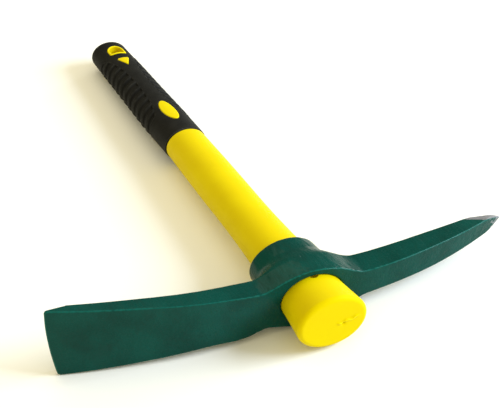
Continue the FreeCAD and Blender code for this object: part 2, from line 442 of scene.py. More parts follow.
@dataclass
class Piece:
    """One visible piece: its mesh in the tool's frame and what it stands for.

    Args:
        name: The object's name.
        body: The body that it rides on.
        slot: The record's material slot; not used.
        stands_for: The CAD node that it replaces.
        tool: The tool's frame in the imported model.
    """

    name: str
    body: Body
    slot: Slot
    stands_for: str
    tool: ToolFrame

    def make(self, skin: Skin, grid: Grid, finish: Material, bare: Field | None = None) -> None:
        """Build the piece, write what its finish reads, and put it on its body.

        Args:
            skin: The mesher, with the piece's field.
            grid: Sample points around the piece.
            finish: The piece's material.
            bare: How far the finish is ground away, where it is.
        """
        points, quads = skin.over(grid)
        mesh = bpy.data.meshes.new(self.name)
        mesh.from_pydata(self.tool.place(points).tolist(), [], quads.tolist())
        mesh.polygons.foreach_set("use_smooth", [True] * len(quads))
        bend = skin.bend(points)
        masks = {Mask.EDGE: np.maximum(bend, 0.0), Mask.HOLLOW: np.maximum(-bend, 0.0)}
        if bare is not None:
            masks[Mask.BARE] = bare(*points.T)
        for mask, values in masks.items():
            layer = mesh.attributes.new(mask.value, "FLOAT", "POINT")
            layer.data.foreach_set("value", values.astype(np.float32))
        place = mesh.attributes.new(PLACE, "FLOAT_VECTOR", "POINT")
        place.data.foreach_set("vector", points.astype(np.float32).ravel())
        mesh.normals_split_custom_set_from_vertices(self.tool.turn(skin.normals(points)).tolist())
        mesh.materials.append(finish)
        made = bpy.data.objects.new(self.name, mesh)
        bpy.context.scene.collection.objects.link(made)
        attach(made, self.body.value)
        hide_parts(self.stands_for)
        log.info("%s: %d points, %d faces", self.name, len(points), len(quads))


# ------------------------------------------------------------------------------------ handle
@dataclass(frozen=True)
class Ovals:
    """Oval sections along the handle: place, half width, half thickness and middle."""

    sections: tuple[tuple[float, float, float, float], ...]

    def half_width(self, y: Array) -> Array:
        """Half width at y."""
        return smooth_curve([(s[0], s[1]) for s in self.sections], y)

    def half_thickness(self, y: Array) -> Array:
        """Half thickness at y."""
        return smooth_curve([(s[0], s[2]) for s in self.sections], y)

    def middle(self, y: Array) -> Array:
        """X of the middle at y."""
        return smooth_curve([(s[0], s[3]) for s in self.sections], y)

    def skin(self, x: Array, y: Array, z: Array, grow: float = 0.0) -> Array:
        """Distance to the ovals' skin, grown by that much."""
        return oval(x - self.middle(y), z, self.half_width(y) + grow, self.half_thickness(y) + grow)


@dataclass(frozen=True)
class Windows:
    """Where the yellow jacket shows through the rubber: an oval, an arrow and the hang hole's rim."""

    oval_middle: float = 266.5
    oval_half_length: float = 15.5
    oval_half_width: float = 5.4
    arrow_base: float = 363.0
    arrow_point: float = 350.0
    arrow_half_width: float = 5.4
    arrow_corner: float = 1.8
    hang_flat: float = 371.8
    hang_crown: float = 385.6
    hang_half_width: float = 7.0
    hang_corner: float = 1.2
    hang_rim: float = 1.5

    def oval_window(self, x: Array, y: Array) -> Array:
        """Distance to the oval's outline."""
        return oval(x, y - self.oval_middle, self.oval_half_width, self.oval_half_length)

    def arrow(self, x: Array, y: Array) -> Array:
        """Distance to the arrow's outline."""
        length = self.arrow_base - self.arrow_point
        slant = math.hypot(length, self.arrow_half_width)
        flank = (np.abs(x) * length - (y - self.arrow_point) * self.arrow_half_width) / slant
        return both(flank, y - self.arrow_base, self.arrow_corner)

    def hang(self, x: Array, y: Array, inset: float = 0.0) -> Array:
        """Distance to the hang hole's D, drawn in by the inset."""
        half = self.hang_half_width
        crown = np.hypot(x, np.maximum(y - self.hang_crown + half, 0.0)) - half
        return both(crown + inset, self.hang_flat + inset - y, self.hang_corner)

    def all(self, x: Array, y: Array) -> Array:
        """Distance to the nearest of the three outlines."""
        return np.minimum(self.oval_window(x, y), np.minimum(self.arrow(x, y), self.hang(x, y)))


@dataclass(frozen=True)
class GateMark:
    """The mark on the end face where the moulding's gate was cut off: a wavy ridge with a dimple in it.

    Starts and ends are where the ridge begins to rise or die away, and where it has. Wander is a distance
    and a rate, and dimple_place is X and Z.
    """

    ridge: Swell = Swell(0.8, 0.0, 0.7746)
    ridge_z: float = -1.9
    climb: float = 0.14
    wander: tuple[float, float] = (0.45, 0.9)
    starts: tuple[float, float] = (1.5, 4.5)
    ends: tuple[float, float] = (13.0, 20.0)
    dimple: Swell = Swell(1.1, 0.0, 1.1402)
    dimple_place: tuple[float, float] = (6.8, -2.1)

    def height(self, x: Array, z: Array) -> Array:
        """How far the mark stands proud of the end face."""
        away = z - self.ridge_z - self.climb * x - self.wander[0] * np.sin(self.wander[1] * x)
        ridge = self.ridge.at(away) * ramp(x, *self.starts) * (1.0 - ramp(x, *self.ends))
        return ridge - self.dimple.at(np.hypot(x - self.dimple_place[0], z - self.dimple_place[1]))


@dataclass(frozen=True)
class Ribs:
    """The ribbed panel on each side of the grip: slanted grooves inside a lens-shaped outline.

    Args:
        side: How far from the grip's middle plane the outline's ends are.
        drop: How much nearer to that plane the outline comes halfway along.
        first: Y of a groove at the height that the slant is counted from.
        wall: Which part of the wave between two grooves is the groove's wall.
        rise: How far the ribs stand proud of the rubber round them.
        depth: How deep the grooves are, from the top of the ribs.
    """

    middle: float = 316.0
    half_length: float = 55.0
    side: float = 15.8
    drop: float = 10.2
    outline: tuple[float, float] = (-0.3, 0.4)
    ends: tuple[float, float] = (0.5, 2.5)
    first: float = 268.0
    pitch: float = 9.6
    slant: float = 0.55
    slant_from: float = 10.5
    wall: tuple[float, float] = (0.15, 0.8)
    rise: float = 0.3
    depth: float = 1.15

    def cut(self, across: Array, y: Array, z: Array) -> Array:
        """How deep the panel is cut into the rubber, below 0 where the ribs stand proud."""
        along = (y - self.middle) / self.half_length
        drop = self.drop * np.sqrt(np.maximum(1.0 - along**2, 0.0))
        panel = ramp(np.abs(across) - self.side + drop, *self.outline) * ramp(drop, *self.ends)
        slanted = y - self.first + self.slant * (self.slant_from - np.abs(z))
        wave = 0.5 + 0.5 * np.cos(2.0 * math.pi * slanted / self.pitch)
        return panel * (self.depth * ramp(wave, *self.wall) - self.rise)


@dataclass
class Handle:
    """The handle: a yellow jacket moulded on a fibreglass rod, with a black rubber grip over its end.

    Args:
        tool: The tool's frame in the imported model.
        seam: Half the width of the groove between the shaft and the grip.
        rubber: Thickness of the rubber.
        neck_overlap: How far the neck under the rubber runs back into the shaft.
        lean: How much the windows and panels lean to the side for each millimetre of height.
        lip: How far the jacket's pads stand proud of the rubber.
        pad_gap: How far a pad's outline is drawn in from its window.
        window_gap: How far the rubber's edge is set back from it.
        core_half: Half width and half thickness of the rod's pocket.
        pin_place: X and Y of the mould's core pin hole.
        pin_bottom: How far from the middle plane the hole ends.
        reach: How far the sample points go out, in half widths.
    """

    tool: ToolFrame
    length: float = 400.0
    grip_start: float = 233.0
    seam: float = 0.35
    stub_rounding: float = 3.5
    shaft_rounding: float = 1.0
    grip_rounding: float = 0.6
    end_rounding: float = 8.0
    inner_rounding: float = 0.3
    rubber: float = 2.6
    rubber_end: float = 3.5
    neck_overlap: float = 2.0
    lean: float = 0.11
    shaft: Ovals = Ovals((
        (0.0, 24.4, 18.8, 0.0), (30.5, 21.1, 16.5, 0.0), (70.5, 18.8, 15.0, 0.0),
        (112.0, 17.0, 13.9, 0.0), (165.0, 16.6, 13.7, 0.0), (233.0, 15.7, 13.2, 0.0),
    ))
    grip: Ovals = Ovals((
        (233.0, 16.4, 13.4, 0.0), (262.0, 17.0, 12.4, -0.7), (316.0, 16.3, 11.6, -1.5),
        (356.0, 15.7, 11.6, -1.9), (380.0, 15.2, 11.6, -2.3), (400.0, 14.9, 11.8, -2.5),
    ))
    windows: Windows = Windows()
    ribs: Ribs = Ribs()
    gate_mark: GateMark = GateMark()
    lip: float = 0.35
    pad_gap: float = 0.08
    window_gap: float = 0.12
    pad_rounding: float = 0.55
    window_rounding: float = 0.45
    hang_rounding: float = 0.6
    core_half: tuple[float, float] = (8.0, 6.5)
    core_ends: tuple[float, float] = (8.0, 345.0)
    pin_place: tuple[float, float] = (0.8, 29.0)
    pin_radius: float = 2.5
    pin_bottom: float = 8.5
    pin_rounding: tuple[float, float] = (0.3, 0.35)
    reach: float = 1.12
    jacket_steps: tuple[Span, ...] = (
        (-1.2, 6.0, 0.45), (6.0, 25.0, 0.9), (25.0, 36.0, 0.6), (36.0, 226.0, 2.2),
        (226.0, 236.0, 0.45), (236.0, 249.0, 1.3), (249.0, 284.0, 0.6), (284.0, 347.0, 2.5),
        (347.0, 388.0, 0.45), (388.0, 398.0, 0.7),
    )
    jacket_cells: int = 54
    grip_steps: tuple[Span, ...] = ((232.2, 236.0, 0.4), (236.0, 392.0, 0.66), (392.0, 401.0, 0.5))
    grip_cells: int = 56

    def across(self, x: Array, y: Array, z: Array) -> Array:
        """How far to the side of the grip's own middle plane, which leans a little."""
        return x - self.grip.middle(y) - self.lean * z

    def neck(self, x: Array, y: Array, z: Array) -> Array:
        """The jacket under the rubber."""
        end = y - (self.length - self.rubber_end)
        return both(self.grip.skin(x, y, z, -self.rubber), end, self.end_rounding - self.rubber)

    def jacket_field(self, x: Array, y: Array, z: Array) -> Array:
        """The yellow jacket: swelled stub, shaft, neck, raised pads, pin holes and hang hole."""
        shaft = both(self.shaft.skin(x, y, z), -y - self.gate_mark.height(x, z), self.stub_rounding)
        shaft = both(shaft, y - (self.grip_start - self.seam), self.shaft_rounding)
        across = self.across(x, y, z)
        pads = self.windows.all(across, y) + self.pad_gap
        pads = both(pads, self.grip.skin(x, y, z, self.lip), self.pad_rounding)
        neck = np.maximum(self.neck(x, y, z), self.grip_start - self.neck_overlap - y)
        jacket = np.minimum(np.minimum(shaft, neck), pads)
        pin = np.hypot(x - self.pin_place[0], y - self.pin_place[1]) - self.pin_radius
        pin = both(pin, self.pin_bottom - np.abs(z), self.pin_rounding[0])
        jacket = both(jacket, -pin, self.pin_rounding[1])
        jacket = both(jacket, -self.windows.hang(across, y, self.windows.hang_rim), self.hang_rounding)
        core = oval(x, z, *self.core_half)
        ends = np.maximum(self.core_ends[0] - y, y - self.core_ends[1])
        return np.maximum(jacket, -np.maximum(core, ends))

    def grip_field(self, x: Array, y: Array, z: Array) -> Array:
        """The rubber grip: a sleeve with a domed end, open at the windows and ribbed at its sides."""
        across = self.across(x, y, z)
        ribbed = self.grip.skin(x, y, z) + self.ribs.cut(across, y, z)
        outside = both(ribbed, y - self.length, self.end_rounding)
        outside = both(outside, self.grip_start + self.seam - y, self.grip_rounding)
        sleeve = both(outside, -self.neck(x, y, z), self.inner_rounding)
        return both(sleeve, self.window_gap - self.windows.all(across, y), self.window_rounding)

    def grid(self, steps: Sequence[Span], cells: int) -> Grid:
        """Sample points around the handle, in step with its ovals.

        Args:
            steps: Steps along the handle.
            cells: Steps across it.

        Returns:
            The grid.
        """
        y = spaced(steps)
        out = np.linspace(-self.reach, self.reach, cells + 1)
        on_shaft = y < self.grip_start
        width = np.where(on_shaft, self.shaft.half_width(y), self.grip.half_width(y))
        thick = np.where(on_shaft, self.shaft.half_thickness(y), self.grip.half_thickness(y))
        middle = np.where(on_shaft, 0.0, self.grip.middle(y))
        x = middle + out[:, None] * width
        z = out * thick[:, None]
        return Grid.of(x[:, :, None], y[None, :, None], z[None, :, :])

    def build(self, plastic: Material, rubber: Material, rod: Material, core: bpy.types.Object) -> None:
        """Make the jacket and the grip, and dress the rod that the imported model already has.

        Args:
            plastic: The jacket's material.
            rubber: The grip's material.
            rod: The rod's material.
            core: The rod.
        """
        jacket = Piece("jacket", Body.HANDLE, Slot.PLASTIC, "handle_jacket", self.tool)
        jacket.make(Skin(self.jacket_field), self.grid(self.jacket_steps, self.jacket_cells), plastic)
        grip = Piece("grip", Body.HANDLE, Slot.RUBBER, "rubber_grip", self.tool)
        grip.make(Skin(self.grip_field), self.grid(self.grip_steps, self.grip_cells), rubber)
        core.material_slots[0].material = rod


# ------------------------------------------------------------------------------------ head
@dataclass
class Head:
    """The forged head: adze blade, pick arm and eye in one piece of painted steel.

    A pair of places is where a thing starts and where it is complete. A pair of halves is at one end and the
    other. Bevel and ground are X, Y and slope of a face; root_swell, pick_step and taper end with a length.

    Args:
        tool: The tool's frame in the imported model.
        handle: The handle that it slides on.
        eye_flat: How far the eye's underside is lifted.
        adze_lean: How much the adze's front falls back for each millimetre along it.
        adze_sag: How far the adze hangs forward of its arc, about a third of the way along.
        adze_flare: How far the adze widens beyond a straight line from root to edge.
        adze_bulge: How far its lower side bulges next to the eye.
        bow: How much the cutting edge is bowed, in 1/mm, and the height of its foremost point.
        skew: How much the edge falls back under that point for each millimetre.
        facet_point: A point on the plane ground on the pick's side, which has facet_normal.
        rim: How far back from the front rim_dents reach, and the height where they are full.
        deep: Sample points from the front to the back, as shares of the arms' thickness.
        high: Sample points up the arms, as shares of their half height.
    """

    tool: ToolFrame
    handle: Handle
    eye_front: float = 28.0
    eye_back: float = 70.5
    eye_front_half: tuple[float, float] = (27.4, 20.2)
    eye_back_half: tuple[float, float] = (24.4, 18.6)
    eye_end_rounding: float = 1.6
    eye_shares: tuple[float, float] = (-0.2, 1.2)
    eye_flat: Swell = Swell(0.68, 0.0, 32.0)
    eye_flat_from: tuple[float, float] = (10.0, 19.0)
    clearance: float = 0.25
    bore_rounding: float = 1.2
    blend: float = 13.0
    edge: float = 1.3
    edge_share: float = 0.4
    corner: float = 1.5
    front_edge: float = 0.8
    adze_end: float = -163.8
    adze_root: float = -30.8
    adze_front: Curl = Curl(28.0, 30.8, 0.0013)
    adze_lean: float = 0.0295
    adze_sag: Swell = Swell(1.1, -74.0, 28.0)
    adze_back: Curl = Curl(45.6, 45.0, 0.00118)
    bevel: tuple[float, float, float] = (-150.0, 58.2, 0.0435)
    adze_half: tuple[float, float] = (12.7, 24.9)
    adze_flare: float = 3.6
    adze_bulge: Swell = Swell(3.4, -46.0, 16.0)
    bulge_from: tuple[float, float] = (0.0, 8.0)
    bow: tuple[float, float] = (0.0022, 12.0)
    skew: float = 0.03
    pick_end: float = 156.4
    pick_front: Curl = Curl(27.0, 30.0, 0.00156)
    pick_step: tuple[float, float] = (1.0, 20.0)
    pick_back: Curl = Curl(46.9, 35.0, 0.0008)
    ground: tuple[float, float, float] = (132.0, 54.4, -0.05)
    pick_half: float = 8.5
    root_swell: tuple[float, float, float] = (1.8, 30.0, 14.0)
    root_stop: float = 20.0
    taper: tuple[float, float, float] = (0.055, 93.0, 8.0)
    facet_point: tuple[float, float, float] = (130.6, 54.2, 5.9)
    facet_normal: tuple[float, float, float] = (0.14, 0.205, 0.969)
    facet_rounding: float = 1.2
    facet_edge: float = 0.6
    nose_normal: tuple[float, float] = (0.43, 0.9)
    nose_half: float = 0.3
    dents: Dents = Dents(0.035, 14.0, (144.0, 156.0))
    eye_dents: Dents = Dents(0.07, 9.0, (35.0, 60.0), (1.3, 0.45))
    rim_dents: Dents = Dents(0.16, 5.0, (40.0, 55.0))
    rim: tuple[float, float] = (4.0, 6.0)
    paint_gone: tuple[float, float] = (-0.5, -0.05)
    ground_from: tuple[float, float] = (112.0, 122.0)
    point_from: tuple[float, float] = (136.0, 150.0)
    point_bare: float = 0.5
    steps: tuple[Span, ...] = (
        (-165.2, -150.0, 0.6), (-150.0, -60.0, 1.1), (-60.0, 60.0, 0.8), (60.0, 122.0, 1.1),
        (122.0, 158.0, 0.5),
    )
    deep: Span = (-0.14, 2.62, 1.0 / 22.0)
    high: Span = (-1.66, 1.67, 1.0 / 24.0)
    least_deep: float = 3.0
    least_high: float = 2.5
    eye_high: float = 13.5
    eye_left: tuple[float, float] = (-60.0, -32.0)
    eye_right: tuple[float, float] = (24.0, 62.0)

    def front(self, x: Array) -> Array:
        """Y of the head's front face at x."""
        adze = self.adze_front.at(-x) - self.adze_lean * x - self.adze_sag.at(x)
        step, length = self.pick_step
        pick = self.pick_front.at(x) + step * np.exp(-np.maximum(x, 0.0) / length)
        return np.where(x < 0.0, adze, pick)

    def back(self, x: Array) -> Array:
        """Y of the arms' back faces at x."""
        start, level, slope = self.bevel
        adze = np.where(x < start, level + slope * (x - start), self.adze_back.at(-x) - self.adze_sag.at(x))
        start, level, slope = self.ground
        pick = np.minimum(self.pick_back.at(x), level + slope * (x - start))
        return np.where(x < 0.0, adze, pick)

    def half_height(self, x: Array) -> Array:
        """Half height of the arms at x."""
        root, end = self.adze_half
        share = (self.adze_root - x) / (self.adze_root - self.adze_end)
        adze = root + np.maximum(share, 0.0) * (end - root)
        adze = adze + self.adze_flare * np.maximum(share * (1.0 - share), 0.0)
        extra, start, length = self.root_swell
        pick = self.pick_half + extra * np.exp((start - np.maximum(x, self.root_stop)) / length)
        slope, start, length = self.taper
        return np.where(x < 0.0, adze, pick - slope * softplus(x - start, length))

    def facet(self, x: Array, y: Array, z: Array) -> Array:
        """The planes ground on both sides of the pick's point."""
        away = zip((x, y, np.abs(z)), self.facet_point, self.facet_normal)
        side = sum(normal * (place - point) for place, point, normal in away)
        nose = self.nose_normal[0] * (x - self.pick_end) + self.nose_normal[1] * (np.abs(z) - self.nose_half)
        return both(side, nose, self.facet_rounding)

    def arms(self, x: Array, y: Array, z: Array) -> Array:
        """Both arms, with no front face yet."""
        half = self.half_height(x) + self.adze_bulge.at(x) * ramp(-z, *self.bulge_from)
        rounding = np.minimum(self.edge, self.edge_share * half)
        bow, foremost = self.bow
        tip = self.adze_end + bow * (z - foremost) ** 2 + self.skew * np.maximum(foremost - z, 0.0)
        block = both(np.abs(z) - half, np.maximum(tip - x, x - self.pick_end), rounding * self.corner)
        block = both(block, y - self.back(x), rounding)
        return both(block, self.facet(x, y, z), self.facet_edge)

    def eye(self, x: Array, y: Array, z: Array) -> Array:
        """The outside of the eye, which tapers towards the grip."""
        share = np.clip((y - self.eye_front) / (self.eye_back - self.eye_front), *self.eye_shares)
        ends = zip(self.eye_front_half, self.eye_back_half)
        halves = [front + share * (back - front) for front, back in ends]
        return both(oval(x, z, *halves), y - self.eye_back, self.eye_end_rounding)

    def field(self, x: Array, y: Array, z: Array) -> Array:
        """The whole forging."""
        solid = either(self.arms(x, y, z), self.eye(x, y, z), self.blend)
        solid = solid + self.dents.at(x, y, z) + self.eye_dents.at(x, y, z)
        behind = np.maximum(y - self.front(x), 0.0)
        solid = solid + self.rim_dents.at(x, y, z) * np.exp(-behind / self.rim[0]) * ramp(z, 0.0, self.rim[1])
        solid = solid + self.eye_flat.at(x) * ramp(-z, *self.eye_flat_from)
        solid = both(solid, self.front(x) - y, self.front_edge)
        return both(solid, -self.handle.shaft.skin(x, y, z, self.clearance), self.bore_rounding)

    def bare(self, x: Array, y: Array, z: Array) -> Array:
        """Where grinding took the paint off, round the pick's point."""
        on_facet = ramp(self.facet(x, y, z), *self.paint_gone) * ramp(x, *self.ground_from)
        return np.maximum(on_facet, self.point_bare * ramp(x, *self.point_from))

    def grid(self) -> Grid:
        """Sample points that follow the arms."""
        x = spaced(self.steps)
        deep = np.arange(*self.deep)
        high = np.arange(*self.high)
        thick = np.maximum(self.back(x) - self.front(x), self.least_deep)
        half = np.maximum(self.half_height(x), self.least_high)
        near_eye = ramp(x, *self.eye_left) * (1.0 - ramp(x, *self.eye_right))
        half = half + near_eye * np.maximum(self.eye_high - half, 0.0)
        y = self.front(x)[:, None] + deep * thick[:, None]
        z = high * half[:, None]
        return Grid.of(x[:, None, None], y[:, :, None], z[:, None, :])

    def build(self, paint: Material) -> None:
        """Make the head."""
        head = Piece("head", Body.HEAD, Slot.PAINT, "pick_head", self.tool)
        head.make(Skin(self.field), self.grid(), paint, self.bare)


# ------------------------------------------------------------------------------------ shader wiring
Socket = bpy.types.NodeSocket
Outputs = bpy.types.NodeOutputs
Colour = tuple[float, float, float, float]


class Wiring:
    """Adds and joins the nodes of one shader tree."""

    def __init__(self, tree: bpy.types.NodeTree) -> None:
        """Start on an empty tree."""
        self.tree = tree
        tree.nodes.clear()

    def node(self, kind: str, inputs: dict | None = None, **settings: object) -> bpy.types.Node:
        """Add a node.

        Args:
            kind: The node's type.
            inputs: Its sockets: each a value to set or a socket to join.
            settings: Its other properties.

        Returns:
            The node.
        """
        made = self.tree.nodes.new(kind)
        for name, value in settings.items():
            setattr(made, name, value)
        for key, value in (inputs or {}).items():
            if isinstance(value, Socket):
                self.tree.links.new(value, made.inputs[key])
            else:
                made.inputs[key].default_value = value
        return made

    def work_out(self, operation: str, *values: Socket | float, clamp: bool = False) -> Socket:
        """A Math node's result."""
        inputs = dict(enumerate(values))
        return self.node("ShaderNodeMath", inputs, operation=operation, use_clamp=clamp).outputs[0]

    def mix(self, share: Socket | float, first: Socket | Colour, second: Socket | Colour) -> Socket:
        """Two colours mixed."""
        return self.node("ShaderNodeMix", {0: share, 6: first, 7: second}, data_type="RGBA").outputs[2]

    def between(self, value: Socket, low: float, high: float, start: float, end: float) -> Socket:
        """The value carried from low..high to start..end, held at both."""
        inputs = {"Value": value, "From Min": low, "From Max": high, "To Min": start, "To Max": end}
        return self.node("ShaderNodeMapRange", inputs).outputs[0]

    def noise(self, place: Socket, size: Socket | float, detail: float = 2.0, rough: float = 0.5) -> Socket:
        """Noise whose lumps are about that many millimetres across."""
        scale = self.work_out("DIVIDE", 1.0, size)
        inputs = {"Vector": place, "Scale": scale, "Detail": detail, "Roughness": rough}
        return self.node("ShaderNodeTexNoise", inputs).outputs["Fac"]

    def stretched(self, place: Socket, scale: tuple[float, float, float]) -> Socket:
        """A place scaled along each axis."""
        return self.node("ShaderNodeMapping", {"Vector": place, "Scale": scale}).outputs[0]

    def bump(self, height: Socket, strength: float, depth: float, under: Socket | None = None) -> Socket:
        """A normal roughened by a height, on top of another normal where one is given."""
        inputs = {"Height": height, "Strength": strength, "Distance": depth}
        if under is not None:
            inputs["Normal"] = under
        return self.node("ShaderNodeBump", inputs).outputs[0]

    def mask(self, mask: Mask) -> Socket:
        """A value stored on the mesh."""
        return self.node("ShaderNodeAttribute", attribute_name=mask.value).outputs["Fac"]

    def place(self) -> Socket:
        """Where the point is on the tool, in millimetres."""
        return self.node("ShaderNodeAttribute", attribute_name=PLACE).outputs["Vector"]


class Port(Enum):
    """The kinds of socket on a shader group."""

    VALUE = "NodeSocketFloat"
    COLOUR = "NodeSocketColor"
    VECTOR = "NodeSocketVector"


class Effect:
    """An effect that several finishes share, as a shader group.

    Subclasses name the group, list its sockets and wire it.
    """

    name = ""
    takes: dict[str, Port] = {}
    gives: dict[str, Port] = {}

    def __init__(self) -> None:
        """Make the group and wire it."""
        self.tree = bpy.data.node_groups.new(self.name, "ShaderNodeTree")
        for direction, ports in (("INPUT", self.takes), ("OUTPUT", self.gives)):
            for title, port in ports.items():
                self.tree.interface.new_socket(title, in_out=direction, socket_type=port.value)
        wiring = Wiring(self.tree)
        entry = wiring.node("NodeGroupInput").outputs
        wiring.node("NodeGroupOutput", self.wire(wiring, entry))

    def wire(self, w: Wiring, entry: Outputs) -> dict[str, Socket]:
        """Wire the group.

        Args:
            w: The group's tree.
            entry: The group's inputs.

        Returns:
            What goes to each output.
        """
        raise NotImplementedError

    def use(self, w: Wiring, **values: object) -> Outputs:
        """Put the group in a material, with that material's own value or socket for each input."""
        return w.node("ShaderNodeGroup", values, node_tree=self.tree).outputs


class Grain(Effect):
    """A fine moulded or sprayed texture: soft lumps with small pits."""

    name = "surface grain"
    takes = {"Place": Port.VECTOR, "Size": Port.VALUE, "Swell": Port.VALUE}
    gives = {"Height": Port.VALUE}

    def wire(self, w: Wiring, entry: Outputs) -> dict[str, Socket]:
        """Wire fine lumps over a broad swell, less the pits."""
        fine = w.noise(entry["Place"], entry["Size"], 3.0)
        broad = w.noise(entry["Place"], entry["Swell"])
        scale = w.work_out("DIVIDE", 1.0, entry["Size"])
        cells = w.node("ShaderNodeTexVoronoi", {"Vector": entry["Place"], "Scale": scale}).outputs["Distance"]
        pits = w.between(cells, 0.05, 0.32, 0.25, 0.0)
        return {"Height": w.work_out("SUBTRACT", w.work_out("MULTIPLY_ADD", broad, 0.6, fine), pits)}


class EdgeWearAndHighlight(Effect):
    """Where edges have been rubbed, broken up unevenly; on the green paint the lighter edges are also a
    painted highlight.
    """

    name = "edge wear and highlight"
    takes = {
        "Edge": Port.VALUE, "Place": Port.VECTOR, "Start": Port.VALUE, "Breakup": Port.VALUE,
        "Amount": Port.VALUE,
    }
    gives = {"Wear and highlight": Port.VALUE}

    def wire(self, w: Wiring, entry: Outputs) -> dict[str, Socket]:
        """Wire the edge value against noise."""
        uneven = w.work_out("MULTIPLY_ADD", w.noise(entry["Place"], entry["Breakup"], 5.0), 1.6, -0.8)
        worn_and_edge_highlight = w.work_out("SUBTRACT", w.work_out("ADD", entry["Edge"], uneven), entry["Start"])
        worn_and_edge_highlight = w.work_out("MULTIPLY", worn_and_edge_highlight, 3.0, clamp=True)
        return {"Wear and highlight": w.work_out("MULTIPLY", worn_and_edge_highlight, entry["Amount"])}


class Dust(Effect):
    """Handling dirt: in hollows, and thinly in patches."""

    name = "handling dirt"
    takes = {"Hollow": Port.VALUE, "Place": Port.VECTOR, "Patch": Port.VALUE, "Amount": Port.VALUE}
    gives = {"Dirt": Port.VALUE}

    def wire(self, w: Wiring, entry: Outputs) -> dict[str, Socket]:
        """Wire the hollows and the patches together."""
        patches = w.between(w.noise(entry["Place"], entry["Patch"], 6.0, 0.65), 0.5, 0.75, 0.0, 0.5)
        hollows = w.work_out("MULTIPLY", entry["Hollow"], 1.2, clamp=True)
        dirt = w.work_out("ADD", patches, hollows, clamp=True)
        return {"Dirt": w.work_out("MULTIPLY", dirt, entry["Amount"])}


class Drift(Effect):
    """A slow uneven drift between two shades."""

    name = "colour drift"
    takes = {"Place": Port.VECTOR, "Size": Port.VALUE, "Light": Port.COLOUR, "Dark": Port.COLOUR}
    gives = {"Color": Port.COLOUR}

    def wire(self, w: Wiring, entry: Outputs) -> dict[str, Socket]:
        """Wire the mix of both shades."""
        share = w.between(w.noise(entry["Place"], entry["Size"], 4.0), 0.3, 0.7, 0.0, 1.0)
        return {"Color": w.mix(share, entry["Dark"], entry["Light"])}


@dataclass
class Effects:
    """The shared effects, made once."""

    grain: Grain = field(default_factory=Grain)
    wear_and_edge_highlight: EdgeWearAndHighlight = field(default_factory=EdgeWearAndHighlight)
    dust: Dust = field(default_factory=Dust)
    drift: Drift = field(default_factory=Drift)


# ------------------------------------------------------------------------------------ finishes
def new_material(name: str) -> tuple[Material, Wiring]:
    """An empty material and its wiring."""
    material = bpy.data.materials.new(name)
    material.use_nodes = True
    return material, Wiring(material.node_tree)


def finish_off(w: Wiring, inputs: dict) -> None:
    """Add the Principled shader with those inputs, and the output."""
    shader = w.node("ShaderNodeBsdfPrincipled", inputs)
    w.node("ShaderNodeOutputMaterial", {"Surface": shader.outputs[0]})


@dataclass(frozen=True)
class Aged:
    """A finish that drifts between two shades, is rubbed at its edges (on the paint, partly a painted edge
    highlight), gathers dirt and has a grain.

    Args:
        worn_and_edge_highlight: Its colour on rubbed edges; on the paint it is also a painted highlight along
            the edges.
        drift: Size of the patches of either shade, in mm.
        wear_and_edge_highlight: The edge curvature where the wear, and on the paint the painted edge
            highlight, starts, the size of its breaks in mm, and its strength.
        dust: Size of the patches of dirt in mm, and the dirt's strength.
        grain: Size of the grain's fine lumps and of its broad ones, in mm.
    """

    light: Colour
    dark: Colour
    worn_and_edge_highlight: Colour
    dirt: Colour
    drift: float
    wear_and_edge_highlight: tuple[float, float, float]
    dust: tuple[float, float]
    grain: tuple[float, float]

    def age(self, w: Wiring, effects: Effects) -> tuple[Socket, Socket, Socket]:
        """Wire the shared effects with this finish's own values.

        Args:
            w: The material's tree.
            effects: The shared effects.

        Returns:
            The colour, how dirty it is, and the grain's height.
        """
        place = w.place()
        shade = effects.drift.use(w, Place=place, Size=self.drift, Light=self.light, Dark=self.dark)["Color"]
        start, breakup, amount = self.wear_and_edge_highlight
        edge = w.mask(Mask.EDGE)
        wear_and_edge_highlight = effects.wear_and_edge_highlight.use(
            w, Edge=edge, Place=place, Start=start, Breakup=breakup, Amount=amount
        )["Wear and highlight"]
        patch, amount = self.dust
        hollow = w.mask(Mask.HOLLOW)
        dirt = effects.dust.use(w, Hollow=hollow, Place=place, Patch=patch, Amount=amount)["Dirt"]
        size, swell = self.grain
        height = effects.grain.use(w, Place=place, Size=size, Swell=swell)["Height"]
        # The edges take the rubbed colour: wear, and on the paint also a painted highlight along the edges.
        return w.mix(dirt, w.mix(wear_and_edge_highlight, shade, self.worn_and_edge_highlight), self.dirt), dirt, height


